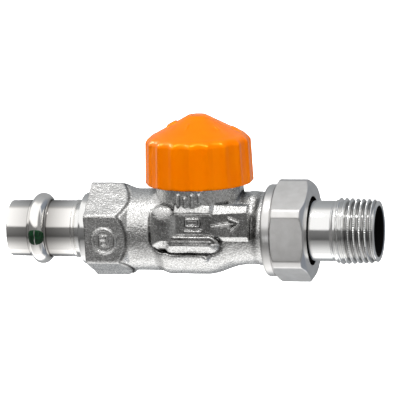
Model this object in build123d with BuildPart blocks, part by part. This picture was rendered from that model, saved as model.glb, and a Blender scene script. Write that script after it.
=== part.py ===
from build123d import *
import math
import os

# Straight radiator valve body with a press socket, a protection cap on the valve head
# and a union tailpiece.  Millimetres.
# Origin: centre of the press socket's mouth, on the pipe axis.
# +X runs along the pipe to the radiator, +Z runs up the valve stem.

os.makedirs("parts", exist_ok=True)

# ---------------------------------------------------------------- driving dimensions

STEM_X = 63.0  # where the stem axis crosses the pipe axis
FIT = 0.05  # radial clearance of a running fit
GAP = 0.3  # gap between faces that meet when the valve is tight

# Press socket for a 15 mm tube
TUBE_BORE_R = 7.6
SOCKET_R = 9.14
SOCKET_DEPTH = 20.0
SOCKET_END_X = 22.7
BEAD_X = 10.2
BEAD_R = 11.46
BEAD_TUBE_R = 2.75
SOCKET_WALL = SOCKET_R - TUBE_BORE_R

# Adapter between the socket and the cast body
SPIGOT_R = 7.0
NECK_R = 8.4
COLLAR_X = 24.7
COLLAR_R = 11.65
ADAPTER_BORE_R = 6.0
PIPE_THREAD_R = 10.4775  # half inch pipe thread, crest
PIPE_THREAD_ROOT_R = 9.316
PIPE_PITCH = 1.814

# Cast body
HEX_X = 27.4
HEX_END_X = 40.9
HEX_ACROSS = 27.0
HEX_TURN = 4.4  # the cast hexagon is turned a little about the pipe axis
HEX_CORNER_R = 15.6
BARREL_R = 13.2
BODY_R = 13.9
BELLY_Z = -14.2
PAD_Y = 14.6
NECK_OUT_R = 10.9
NECK_START_X = 76.0
BODY_END_X = 92.6
UNION_THREAD_X = 86.2
UNION_THREAD_R = 13.1  # three quarter inch pipe thread, crest
UNION_THREAD_ROOT_R = 12.05
HEAD_THREAD_R = 14.95  # M30 x 1.5
HEAD_ROOT_R = 14.05
HEAD_PITCH = 1.5
HEAD_THREAD_Z = 17.3
HEAD_TOP_Z = 26.0

# Flow passages
INLET_R = 6.6
INLET_END_X = 51.5
OUTLET_R = 7.1
OUTLET_X = 74.5
CHAMBER_R = 9.6
CHAMBER_FLOOR_Z = -3.5
LOWER_TOP_Z = -5.2
LOWER_FLOOR_Z = -10.8
LOWER_R = 7.4
SEAT_R = 4.4
SEAT_LIP_R = 5.2
SEAT_Z = -2.7
INSERT_THREAD_R = 11.2
INSERT_THREAD_Z = 12.3

# Protection cap
CAP_RIM_Z = 15.6
CAP_R = 17.2
CAP_TOP_R = 16.75
CAP_SHOULDER_Z = 28.7
CAP_CONE_R = 14.9
CAP_CONE_Z = 30.9
CAP_PEAK_R = 3.0
CAP_PEAK_Z = 37.6
CAP_WALL = 1.8
CAP_BORE_R = 15.1
CAP_FLUTES = 18
FLUTE_R = 9.0
FLUTE_DEPTH = 0.4
STEM_TIP_Z = 30.2

# Union nut and tailpiece
NUT_X = 85.4
NUT_COLLAR_R = 14.8
NUT_HEX_X = 88.7
NUT_END_X = 100.1
NUT_ACROSS = 30.0
NUT_CORNER_R = 16.6
NUT_BORE_R = 13.25
NUT_SHOULDER_X = 95.6
NUT_MOUTH_R = 10.7
TAIL_COLLAR_X = 92.9
TAIL_COLLAR_R = 12.4
TAIL_R = 9.7
TAIL_THREAD_X = 108.19
TAIL_RIDGES = 6
TAIL_END_X = 121.35
TAIL_BORE_R = 8.0

# Conical seat of the union: the body's cone, the tailpiece's nose and its seal
CONE_X = 88.9
CONE_R = 8.2
CONE_MOUTH_R = 10.33
NOSE_X = 89.6
NOSE_R = 8.3
NOSE_BORE_R = 6.6
NOSE_END_R = 10.2
UNION_RING_X = 91.1
UNION_RING_R = 8.55
UNION_CORD_R = 0.68
UNION_GROOVE_R = UNION_RING_R - UNION_CORD_R - 0.02
GROOVE_START_X = UNION_RING_X - 0.7
GROOVE_END_X = UNION_RING_X + 0.7

STEM_AXIS = Axis((STEM_X, 0, 0), (0, 0, 1))
STEM_PLANE = Plane(origin=(STEM_X, 0, 0), x_dir=(1, 0, 0), z_dir=(0, -1, 0))
# Sketches on Plane.XZ hold (distance along the pipe, radius) and turn about the X axis.
# Sketches on STEM_PLANE hold (radius, height) and turn about the stem axis.


def thread_outline(start, pitch, ridges, crest_r, root_r):
    """Points (distance, radius) of a run of ridges with flat crests, from root to root."""
    points = []
    for ridge in range(ridges):
        base = start + ridge * pitch
        points.append((base, root_r))
        points.append((base + 0.38 * pitch, crest_r))
        points.append((base + 0.58 * pitch, crest_r))
        points.append((base + 0.96 * pitch, root_r))
    return points


def groove(wall_r, ring, half_width):
    """Points (radius, height) of a square groove cut from a wall for a seal, from the bottom up."""
    ring_r, ring_z, cord_r = ring
    floor_r = ring_r - cord_r - 0.02 if ring_r < wall_r else ring_r + cord_r + 0.01
    return [
        (wall_r, ring_z - half_width),
        (floor_r, ring_z - half_width),
        (floor_r, ring_z + half_width),
        (wall_r, ring_z + half_width),
    ]


def save(part, node):
    """Labels a finished sub-part and writes its STEP file."""
    part.label = node
    export_step(part, f"parts/{node}.step")
    print(f"{node:18s} {len(part.solids())} solid(s) {part.volume:10.2f} mm3")


# ---------------------------------------------------------------- press socket

with BuildPart() as press_socket:
    with BuildSketch(Plane.XZ):
        with BuildLine():
            Polyline(
                (0, TUBE_BORE_R),
                (0, SOCKET_R - 0.5),
                (0.5, SOCKET_R),
                (SOCKET_END_X - 0.9, SOCKET_R),
                (SOCKET_END_X - 0.7, SOCKET_R + 0.22),
                (SOCKET_END_X, SOCKET_R + 0.22),
                (SOCKET_END_X, SPIGOT_R),
                (SOCKET_DEPTH, SPIGOT_R),
                (SOCKET_DEPTH, TUBE_BORE_R),
                close=True,
            )
        make_face()
    revolve(axis=Axis.X)
    # rolled bead that holds the seal
    with BuildSketch(Plane.XZ):
        with Locations((BEAD_X, BEAD_R - BEAD_TUBE_R)):
            Circle(BEAD_TUBE_R)
    revolve(axis=Axis.X)
    with BuildSketch(Plane.XZ):
        with Locations((BEAD_X, BEAD_R - BEAD_TUBE_R)):
            Circle(BEAD_TUBE_R - SOCKET_WALL + 0.25)
    revolve(axis=Axis.X, mode=Mode.SUBTRACT)
    with BuildSketch(Plane.YZ):
        Circle(TUBE_BORE_R)
    extrude(amount=SOCKET_DEPTH, mode=Mode.SUBTRACT)
save(press_socket.part, "press_socket")

with BuildPart() as press_oring:
    with BuildSketch(Plane.XZ):
        with Locations((BEAD_X, BEAD_R - BEAD_TUBE_R + 0.06)):
            Circle(1.35)
    revolve(axis=Axis.X)
save(press_oring.part, "press_oring")

with BuildPart() as press_adapter:
    with BuildSketch(Plane.XZ):
        with BuildLine():
            Polyline(
                (SOCKET_DEPTH, ADAPTER_BORE_R),
                (SOCKET_DEPTH, SPIGOT_R),
                (SOCKET_END_X, SPIGOT_R),
                (SOCKET_END_X, NECK_R),
                (COLLAR_X, NECK_R),
                (COLLAR_X + 0.05, COLLAR_R - 0.45),
                (COLLAR_X + 0.5, COLLAR_R),
                (HEX_X, COLLAR_R),
                (HEX_X, PIPE_THREAD_ROOT_R),
                *thread_outline(HEX_X + 1.2, PIPE_PITCH, 5, PIPE_THREAD_R - 0.2, PIPE_THREAD_ROOT_R),
                (HEX_X + 11.2, PIPE_THREAD_ROOT_R),
                (HEX_X + 11.2, ADAPTER_BORE_R),
                close=True,
            )
        make_face()
    revolve(axis=Axis.X)
save(press_adapter.part, "press_adapter")

# Paint mark on the front of the bead: a thin skin over the crown
MARK_X = BEAD_X + 0.1
MARK_WIDTH = 5.0
MARK_START = -8.0  # degrees below the horizontal
MARK_ARC = 27.0
MARK_SKIN = 0.08
mark_out = (
    0,
    -math.cos(math.radians(MARK_START)),
    -math.sin(math.radians(MARK_START)),
)
with BuildPart() as press_marker:
    with BuildSketch(Plane(origin=(0, 0, 0), x_dir=(1, 0, 0), z_dir=(0, -mark_out[2], mark_out[1]))):
        with Locations((BEAD_X, BEAD_R - BEAD_TUBE_R)):
            Circle(BEAD_TUBE_R + MARK_SKIN)
            Circle(BEAD_TUBE_R, mode=Mode.SUBTRACT)
        with Locations((MARK_X, BEAD_R)):
            Rectangle(MARK_WIDTH, 2 * (BEAD_R - SOCKET_R - 0.2), mode=Mode.INTERSECT)
    revolve(axis=Axis.X, revolution_arc=MARK_ARC)
save(press_marker.part, "press_marker")

# ---------------------------------------------------------------- cast valve body

with BuildPart() as valve_body:
    # spanner hexagon, with its outlet end turned to a cone
    with BuildSketch(Plane.YZ.offset(HEX_X)) as spanner_hexagon:
        RegularPolygon(HEX_ACROSS / 2, 6, major_radius=False, rotation=30 + HEX_TURN)
        fillet(spanner_hexagon.vertices(), 1.2)
    extrude(amount=HEX_END_X - HEX_X + 0.4)
    with BuildSketch(Plane.XZ):
        with BuildLine():
            Polyline(
                (HEX_X, 0),
                (HEX_X, HEX_CORNER_R - 1.0),
                (HEX_X + 0.5, HEX_CORNER_R),
                (HEX_END_X - 3.8, HEX_CORNER_R),
                (HEX_END_X, BARREL_R),
                (HEX_END_X + 0.4, BARREL_R),
                (HEX_END_X + 0.4, 0),
                close=True,
            )
        make_face()
    revolve(axis=Axis.X, mode=Mode.INTERSECT)

    # inlet barrel, outlet neck and the union thread
    with BuildSketch(Plane.XZ):
        with BuildLine():
            Polyline(
                (HEX_END_X, 0),
                (HEX_END_X, BARREL_R),
                (STEM_X + 5, BARREL_R),
                (NECK_START_X, NECK_OUT_R + 0.6),
                (NECK_START_X + 2, NECK_OUT_R),
                (UNION_THREAD_X, NECK_OUT_R),
                *thread_outline(
                    UNION_THREAD_X, PIPE_PITCH, 3, UNION_THREAD_R, UNION_THREAD_ROOT_R
                ),
                (BODY_END_X, UNION_THREAD_ROOT_R),
                (BODY_END_X, 0),
                close=True,
            )
        make_face()
    revolve(axis=Axis.X)

    # upright middle of the casting, with the M30 x 1.5 head thread on top
    with BuildSketch(STEM_PLANE):
        with BuildLine():
            Polyline(
                (0, BELLY_Z),
                (BODY_R - 5, BELLY_Z),
                (BODY_R - 1.5, BELLY_Z + 1.5),
                (BODY_R, BELLY_Z + 5),
                (BODY_R, HEAD_THREAD_Z),
                *[
                    (radius, height)
                    for height, radius in thread_outline(
                        HEAD_THREAD_Z, HEAD_PITCH, 5, HEAD_THREAD_R, HEAD_ROOT_R
                    )
                ],
                (HEAD_ROOT_R, HEAD_TOP_Z),
                (0, HEAD_TOP_Z),
                close=True,
            )
        make_face()
    revolve(axis=STEM_AXIS)

    # raised pads of the casting, the same on the front and on the back: a long pad under
    # the pipe axis, an upright pad beside it, and a ledge that runs out along the neck
    with BuildSketch(Plane.XZ):
        with Locations((STEM_X - 0.3, -2.25)):
            SlotOverall(18.4, 6.1)
        with Locations((STEM_X - 9.2, 2.7)):
            Rectangle(6.0, 11.0)
    extrude(amount=PAD_Y, both=True)
    with BuildSketch(Plane.XZ):
        with Locations((STEM_X + 3.0, 9.0)):
            Rectangle(16.0, 1.6)
        with Locations((STEM_X + 14.0, 9.1)):
            Rectangle(8.0, 1.6, rotation=8)
    extrude(amount=PAD_Y - 2.6, both=True)

    # cast lug over the outlet neck
    with BuildSketch(Plane.XZ):
        with Locations((STEM_X + 17.6, NECK_OUT_R - 1.2)):
            Ellipse(4.4, 2.9)
    extrude(amount=4.5, both=True)

    # inlet thread, inlet bore and the duct that drops below the seat
    with BuildSketch(Plane.XZ):
        with BuildLine():
            Polyline(
                (HEX_X, 0),
                (HEX_X, PIPE_THREAD_R - 0.2),
                (HEX_X + 11.4, PIPE_THREAD_R - 0.2),
                (HEX_X + 13, INLET_R),
                (INLET_END_X - 3, INLET_R),
                (INLET_END_X, INLET_R - 3),
                (INLET_END_X, 0),
                close=True,
            )
        make_face()
    revolve(axis=Axis.X, mode=Mode.SUBTRACT)
    with BuildSketch(Plane.XY.offset(LOWER_FLOOR_Z)) as duct:
        with Locations((STEM_X - 10, 0)):
            Rectangle(20, 8.4)
        fillet(duct.vertices(), 2)
        with Locations((STEM_X, 0)):
            Circle(LOWER_R)
    extrude(amount=LOWER_TOP_Z - LOWER_FLOOR_Z, mode=Mode.SUBTRACT)

    # seat, valve chamber and the threaded well for the insert
    with BuildSketch(STEM_PLANE):
        with BuildLine():
            Polyline(
                (0, LOWER_TOP_Z - 0.5),
                (SEAT_R, LOWER_TOP_Z - 0.5),
                (SEAT_R, SEAT_Z),
                (SEAT_LIP_R, SEAT_Z),
                (SEAT_LIP_R, CHAMBER_FLOOR_Z),
                (CHAMBER_R, CHAMBER_FLOOR_Z),
                (CHAMBER_R, INSERT_THREAD_Z),
                (INSERT_THREAD_R, INSERT_THREAD_Z),
                (INSERT_THREAD_R, HEAD_TOP_Z),
                (0, HEAD_TOP_Z),
                close=True,
            )
        make_face()
    revolve(axis=STEM_AXIS, mode=Mode.SUBTRACT)

    # outlet duct and outlet bore, which opens into the cone of the union
    with BuildSketch(Plane.YZ.offset(STEM_X + 6)) as outlet_duct:
        with Locations((0, 2.4)):
            Rectangle(11, 9.6)
        fillet(outlet_duct.vertices(), 2)
    extrude(amount=OUTLET_X - STEM_X - 4, mode=Mode.SUBTRACT)
    with BuildSketch(Plane.XZ):
        with BuildLine():
            Polyline(
                (OUTLET_X, 0),
                (OUTLET_X, OUTLET_R - 2),
                (OUTLET_X + 2, OUTLET_R),
                (CONE_X, OUTLET_R),
                (CONE_X, CONE_R),
                (BODY_END_X, CONE_MOUTH_R),
                (BODY_END_X, 0),
                close=True,
            )
        make_face()
    revolve(axis=Axis.X, mode=Mode.SUBTRACT)
save(valve_body.part, "valve_body")

# ---------------------------------------------------------------- valve insert

INSERT_R = INSERT_THREAD_R
INSERT_LOW_R = CHAMBER_R - FIT
INSERT_LOW_Z = 5.4
INSERT_TOP_Z = 27.2
SLEEVE_R = 7.5
SLEEVE_BORE_R = 6.2
SLEEVE_LOW_Z = -3.1
SLEEVE_TOP_Z = 21.0
WEB_Z = 3.2
WEB_TOP_Z = 4.4
DIAL_R = 8.7
DIAL_BORE_R = 5.6
DIAL_TOP_Z = 27.8
DIAL_WELL_R = 8.9
DIAL_WELL_Z = 20.8
STEM_R = 2.0
PIN_R = 1.5
GLAND_Z = 15.0
GLAND_TOP_Z = 22.4

# Seals of the insert: ring radius, height and cord radius
INSERT_RING = (INSERT_LOW_R - 0.52, 8.3, 0.54)
SLEEVE_RING = (SLEEVE_R - 0.46, 17.8, 0.48)
GLAND_RING = (SLEEVE_BORE_R - 0.5, 16.8, 0.48)
STEM_RING = (PIN_R + 0.64, 18.3, 0.6)

with BuildPart() as bonnet_insert:
    with BuildSketch(STEM_PLANE):
        with BuildLine():
            Polyline(
                (SLEEVE_R + FIT, INSERT_LOW_Z),
                (INSERT_LOW_R, INSERT_LOW_Z),
                *groove(INSERT_LOW_R, INSERT_RING, 1.0),
                (INSERT_LOW_R, INSERT_THREAD_Z),
                (INSERT_R, INSERT_THREAD_Z),
                (INSERT_R, HEAD_TOP_Z - 0.6),
                (INSERT_R - 1.0, HEAD_TOP_Z + 0.2),
                (INSERT_R - 1.0, INSERT_TOP_Z),
                (DIAL_WELL_R, INSERT_TOP_Z),
                (DIAL_WELL_R, DIAL_WELL_Z),
                (SLEEVE_R + FIT, DIAL_WELL_Z),
                close=True,
            )
        make_face()
    revolve(axis=STEM_AXIS)
    # spanner slots in the rim
    with BuildSketch(Plane.XY.offset(INSERT_TOP_Z - 1.4)):
        with Locations((STEM_X, 0)):
            with PolarLocations(INSERT_R - 1.2, 6):
                Rectangle(3.4, 2.2)
    extrude(amount=2, mode=Mode.SUBTRACT)
save(bonnet_insert.part, "bonnet_insert")

with BuildPart() as throttle_sleeve:
    with BuildSketch(STEM_PLANE):
        with BuildLine():
            Polyline(
                (SLEEVE_BORE_R, SLEEVE_LOW_Z),
                (SLEEVE_R, SLEEVE_LOW_Z),
                *groove(SLEEVE_R, SLEEVE_RING, 0.8),
                (SLEEVE_R, SLEEVE_TOP_Z),
                (SLEEVE_BORE_R, SLEEVE_TOP_Z),
                (SLEEVE_BORE_R, WEB_TOP_Z),
                (STEM_R + FIT, WEB_TOP_Z),
                (STEM_R + FIT, WEB_Z),
                (SLEEVE_BORE_R, WEB_Z),
                close=True,
            )
        make_face()
    revolve(axis=STEM_AXIS)
    # throttling window: a tall part and a low part, seen from the outlet
    with BuildSketch(Plane(origin=(STEM_X, 0, 0), x_dir=(0, 1, 0), z_dir=(1, 0, 0))):
        with Locations((-2.2, -0.6)):
            Rectangle(4.6, 5.0)
        with Locations((2.0, -1.7)):
            Rectangle(4.4, 2.8)
    extrude(amount=CHAMBER_R, mode=Mode.SUBTRACT)
save(throttle_sleeve.part, "throttle_sleeve")

with BuildPart() as preset_dial:
    with BuildSketch(STEM_PLANE):
        with BuildLine():
            Polyline(
                (DIAL_BORE_R, SLEEVE_TOP_Z),
                (DIAL_R, SLEEVE_TOP_Z),
                (DIAL_R, DIAL_TOP_Z),
                (DIAL_BORE_R, DIAL_TOP_Z),
                (DIAL_BORE_R, DIAL_TOP_Z - 1.8),
                (DIAL_BORE_R + 0.8, DIAL_TOP_Z - 1.8),
                (DIAL_BORE_R + 0.8, GLAND_TOP_Z + 0.2),
                (DIAL_BORE_R, GLAND_TOP_Z + 0.2),
                close=True,
            )
        make_face()
    revolve(axis=STEM_AXIS)
    # crown of key notches, one for each setting, and a wider one for the index
    with BuildSketch(Plane.XY.offset(DIAL_TOP_Z - 1.2)):
        with Locations((STEM_X, 0)):
            with PolarLocations(DIAL_R, 8):
                Rectangle(3.0, 1.5)
    extrude(amount=2, mode=Mode.SUBTRACT)
save(preset_dial.part, "preset_dial")

with BuildPart() as gland_nut:
    with BuildSketch(STEM_PLANE):
        with BuildLine():
            Polyline(
                (PIN_R + FIT, GLAND_Z),
                (SLEEVE_BORE_R, GLAND_Z),
                *groove(SLEEVE_BORE_R, GLAND_RING, 0.8),
                (SLEEVE_BORE_R, SLEEVE_TOP_Z - 0.4),
                (DIAL_BORE_R - 0.2, SLEEVE_TOP_Z),
                (DIAL_BORE_R - 0.2, GLAND_TOP_Z),
                (PIN_R + FIT, GLAND_TOP_Z),
                *reversed(groove(PIN_R + FIT, STEM_RING, 0.9)),
                close=True,
            )
        make_face()
    revolve(axis=STEM_AXIS)
    # key slot across the top
    with BuildSketch(Plane.XY.offset(GLAND_TOP_Z - 1.0)):
        with Locations((STEM_X, 0)):
            Rectangle(12, 1.4)
    extrude(amount=1.2, mode=Mode.SUBTRACT)
save(gland_nut.part, "gland_nut")

insert_seals = {
    "insert_oring": INSERT_RING,
    "sleeve_oring": SLEEVE_RING,
    "gland_oring": GLAND_RING,
    "stem_oring": STEM_RING,
}
for node, (ring_r, ring_z, cord_r) in insert_seals.items():
    with BuildPart() as seal:
        with BuildSketch(STEM_PLANE):
            with Locations((ring_r, ring_z)):
                Circle(cord_r)
        revolve(axis=STEM_AXIS)
    save(seal.part, node)

# ---------------------------------------------------------------- stem and plug

PLATE_Z = 10.9
PLATE_TOP_Z = 11.9
PLATE_R = 5.6
CLIP_TOP_Z = 12.45
HOLDER_Z = -0.9
HOLDER_TOP_Z = 0.8
DISC_Z = SEAT_Z + GAP
PLUG_R = 5.6
BOLT_R = 1.2
BOLT_END_Z = -3.9
SPRING_R = 4.2
SPRING_WIRE_R = 0.4
SPRING_TURNS = 4

with BuildPart() as stem:
    with BuildSketch(STEM_PLANE):
        with BuildLine():
            Polyline(
                (0, BOLT_END_Z),
                (BOLT_R, BOLT_END_Z),
                (BOLT_R, HOLDER_TOP_Z),
                (STEM_R, HOLDER_TOP_Z),
                (STEM_R, PLATE_Z - 0.7),
                (STEM_R + 0.6, PLATE_Z - 0.7),
                (STEM_R + 0.6, PLATE_Z),
                (STEM_R, PLATE_Z),
                (STEM_R, PLATE_TOP_Z),
                (STEM_R - 0.35, PLATE_TOP_Z),
                (STEM_R - 0.35, CLIP_TOP_Z),
                (STEM_R, CLIP_TOP_Z),
                (STEM_R, CLIP_TOP_Z + 0.15),
                (PIN_R, CLIP_TOP_Z + 0.4),
                (PIN_R, STEM_TIP_Z - 0.5),
                (PIN_R - 0.5, STEM_TIP_Z),
                (0, STEM_TIP_Z),
                close=True,
            )
        make_face()
    revolve(axis=STEM_AXIS)
save(stem.part, "stem")

with BuildPart() as spring_plate:
    with BuildSketch(Plane.XY.offset(PLATE_Z)):
        with Locations((STEM_X, 0)):
            Circle(PLATE_R)
            Circle(STEM_R, mode=Mode.SUBTRACT)
    extrude(amount=PLATE_TOP_Z - PLATE_Z)
save(spring_plate.part, "spring_plate")

with BuildPart() as stem_clip:
    with BuildSketch(Plane.XY.offset(PLATE_TOP_Z)):
        with Locations((STEM_X, 0)):
            Circle(STEM_R + 1.3)
            Circle(STEM_R - 0.35, mode=Mode.SUBTRACT)
        with Locations((STEM_X + 2.5, 0)):
            Rectangle(5, 2.2, mode=Mode.SUBTRACT)
    extrude(amount=CLIP_TOP_Z - PLATE_TOP_Z)
save(stem_clip.part, "stem_clip")

with BuildPart() as return_spring:
    spring_low = WEB_TOP_Z + SPRING_WIRE_R + FIT
    spring_rise = PLATE_Z - SPRING_WIRE_R - FIT - spring_low
    with BuildLine() as coil:
        Helix(spring_rise / SPRING_TURNS, spring_rise, SPRING_R, center=(STEM_X, 0, spring_low))
    with BuildSketch(Plane(origin=coil.line @ 0, z_dir=coil.line % 0)):
        Circle(SPRING_WIRE_R)
    sweep()
save(return_spring.part, "return_spring")

with BuildPart() as disc_holder:
    with BuildSketch(STEM_PLANE):
        with BuildLine():
            Polyline(
                (BOLT_R, HOLDER_Z),
                (PLUG_R - 0.5, HOLDER_Z),
                (PLUG_R - 0.5, HOLDER_Z - 0.8),
                (PLUG_R, HOLDER_Z - 0.8),
                (PLUG_R, HOLDER_TOP_Z - 0.4),
                (PLUG_R - 0.4, HOLDER_TOP_Z),
                (BOLT_R, HOLDER_TOP_Z),
                close=True,
            )
        make_face()
    revolve(axis=STEM_AXIS)
save(disc_holder.part, "disc_holder")

with BuildPart() as disc_seal:
    with BuildSketch(Plane.XY.offset(DISC_Z)):
        with Locations((STEM_X, 0)):
            Circle(PLUG_R - 0.55)
            Circle(BOLT_R, mode=Mode.SUBTRACT)
    extrude(amount=HOLDER_Z - DISC_Z)
save(disc_seal.part, "disc_seal")

with BuildPart() as disc_nut:
    with BuildSketch(Plane.XY.offset(DISC_Z - 1.0)):
        with Locations((STEM_X, 0)):
            RegularPolygon(2.5, 6)
            Circle(BOLT_R, mode=Mode.SUBTRACT)
    extrude(amount=1.0)
save(disc_nut.part, "disc_nut")

# ---------------------------------------------------------------- protection cap

cap_slope = math.atan2(CAP_PEAK_Z - CAP_CONE_Z, CAP_CONE_R - CAP_PEAK_R)

with BuildPart() as protection_cap:
    with BuildSketch(STEM_PLANE):
        with BuildLine():
            Polyline(
                (0, CAP_RIM_Z),
                (CAP_R - 0.5, CAP_RIM_Z),
                (CAP_R - 0.5, CAP_RIM_Z + 0.9),
                (CAP_R, CAP_RIM_Z + 1.1),
                (CAP_TOP_R, CAP_SHOULDER_Z),
            )
            TangentArc(
                (CAP_TOP_R, CAP_SHOULDER_Z),
                (CAP_CONE_R, CAP_CONE_Z),
                tangent=(0, 1),
            )
            Polyline(
                (CAP_CONE_R, CAP_CONE_Z),
                (CAP_PEAK_R, CAP_PEAK_Z - 0.25),
                (CAP_PEAK_R - 0.8, CAP_PEAK_Z),
                (0, CAP_PEAK_Z),
                (0, CAP_RIM_Z),
            )
        make_face()
    revolve(axis=STEM_AXIS)
    # shallow grip flutes down the skirt
    flute_out = CAP_R + FLUTE_R - FLUTE_DEPTH
    with BuildSketch(Plane.XY.offset(CAP_RIM_Z)):
        with Locations((STEM_X, 0)):
            with PolarLocations(flute_out, CAP_FLUTES, start_angle=5):
                Circle(FLUTE_R)
    extrude(amount=CAP_SHOULDER_Z + 1.0 - CAP_RIM_Z, taper=-1.4, mode=Mode.SUBTRACT)
    # two key lugs on the cone
    lug_r = 10.4
    lug_z = CAP_CONE_Z + (CAP_CONE_R - lug_r) * math.tan(cap_slope)
    with BuildSketch(Plane.XY.offset(lug_z - 2.0)):
        with Locations((STEM_X, 0)):
            with PolarLocations(lug_r, 2, start_angle=12):
                Rectangle(2.6, 2.2)
    extrude(amount=2.7)
    # inside: bore over the head thread, conical roof, and a plunger over the stem
    with BuildSketch(STEM_PLANE):
        with BuildLine():
            Polyline(
                (0, CAP_RIM_Z),
                (CAP_BORE_R + 0.6, CAP_RIM_Z),
                (CAP_BORE_R, CAP_RIM_Z + 0.6),
                (CAP_BORE_R, CAP_SHOULDER_Z - 2.0),
                (CAP_CONE_R - 1.6, CAP_CONE_Z - 2.0),
                (CAP_PEAK_R + 1.6, CAP_PEAK_Z - 3.0),
                (CAP_PEAK_R + 1.6, STEM_TIP_Z + 0.1),
                (0, STEM_TIP_Z + 0.1),
                close=True,
            )
        make_face()
    revolve(axis=STEM_AXIS, mode=Mode.SUBTRACT)
save(protection_cap.part, "protection_cap")

# ---------------------------------------------------------------- union nut and tailpiece

with BuildPart() as union_nut:
    with BuildSketch(Plane.YZ.offset(NUT_HEX_X)):
        RegularPolygon(NUT_ACROSS / 2, 6, major_radius=False, rotation=30.5)
    extrude(amount=NUT_END_X - NUT_HEX_X)
    with BuildSketch(Plane.XZ):
        with BuildLine():
            Polyline(
                (NUT_HEX_X, 0),
                (NUT_HEX_X, NUT_COLLAR_R + 0.3),
                (NUT_HEX_X + 0.8, NUT_CORNER_R),
                (NUT_END_X - 1.5, NUT_CORNER_R),
                (NUT_END_X - 0.25, NUT_ACROSS / 2),
                (NUT_END_X, 12.5),
                (NUT_END_X, 0),
                close=True,
            )
        make_face()
    revolve(axis=Axis.X, mode=Mode.INTERSECT)
    # round collar on the valve side
    with BuildSketch(Plane.XZ):
        with BuildLine():
            Polyline(
                (NUT_X, 0),
                (NUT_X, NUT_COLLAR_R - 0.7),
                (NUT_X + 0.7, NUT_COLLAR_R),
                (NUT_HEX_X, NUT_COLLAR_R),
                (NUT_HEX_X, 0),
                close=True,
            )
        make_face()
    revolve(axis=Axis.X)
    # threaded bore, shoulder that draws the tailpiece in, and the mouth around the tail
    with BuildSketch(Plane.XZ):
        with BuildLine():
            Polyline(
                (NUT_X, 0),
                (NUT_X, NUT_BORE_R + 0.5),
                (NUT_X + 0.5, NUT_BORE_R),
                (NUT_SHOULDER_X, NUT_BORE_R),
                (NUT_SHOULDER_X, TAIL_R + 0.15),
                (NUT_END_X - 2.0, TAIL_R + 0.15),
                (NUT_END_X - 0.6, NUT_MOUTH_R),
                (NUT_END_X, NUT_MOUTH_R + 0.5),
                (NUT_END_X, 0),
                close=True,
            )
        make_face()
    revolve(axis=Axis.X, mode=Mode.SUBTRACT)
save(union_nut.part, "union_nut")

tail_chamfer_x = TAIL_THREAD_X + TAIL_RIDGES * PIPE_PITCH


def nose_radius(x):
    """Radius of the tailpiece's conical nose at a distance along the pipe."""
    return NOSE_R + (NOSE_END_R - NOSE_R) * (x - NOSE_X) / (TAIL_COLLAR_X - NOSE_X)


with BuildPart() as tailpiece:
    with BuildSketch(Plane.XZ):
        with BuildLine():
            Polyline(
                (NOSE_X, NOSE_BORE_R),
                (NOSE_X, NOSE_R),
                (GROOVE_START_X, nose_radius(GROOVE_START_X)),
                (GROOVE_START_X, UNION_GROOVE_R),
                (GROOVE_END_X, UNION_GROOVE_R),
                (GROOVE_END_X, nose_radius(GROOVE_END_X)),
                (TAIL_COLLAR_X, NOSE_END_R),
                (TAIL_COLLAR_X, TAIL_COLLAR_R),
                (NUT_SHOULDER_X - GAP, TAIL_COLLAR_R),
                (NUT_SHOULDER_X - GAP, TAIL_R),
                (TAIL_THREAD_X - 0.5, TAIL_R),
                *thread_outline(
                    TAIL_THREAD_X, PIPE_PITCH, TAIL_RIDGES, PIPE_THREAD_R, PIPE_THREAD_ROOT_R
                ),
                (tail_chamfer_x, PIPE_THREAD_ROOT_R),
                (tail_chamfer_x + 0.7, 10.1),
                (tail_chamfer_x + 1.1, 10.1),
                (TAIL_END_X, 9.6),
                (TAIL_END_X, TAIL_BORE_R + 0.3),
                (TAIL_END_X - 0.3, TAIL_BORE_R),
                (TAIL_COLLAR_X + 6, TAIL_BORE_R),
                (TAIL_COLLAR_X + 4, NOSE_BORE_R),
                close=True,
            )
        make_face()
    revolve(axis=Axis.X)
save(tailpiece.part, "tailpiece")

with BuildPart() as union_oring:
    with BuildSketch(Plane.XZ):
        with Locations((UNION_RING_X, UNION_RING_R)):
            Circle(UNION_CORD_R)
    revolve(axis=Axis.X)
save(union_oring.part, "union_oring")
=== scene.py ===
import math

import bmesh
import bpy
import numpy as np
from mathutils import Matrix, Vector


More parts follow.
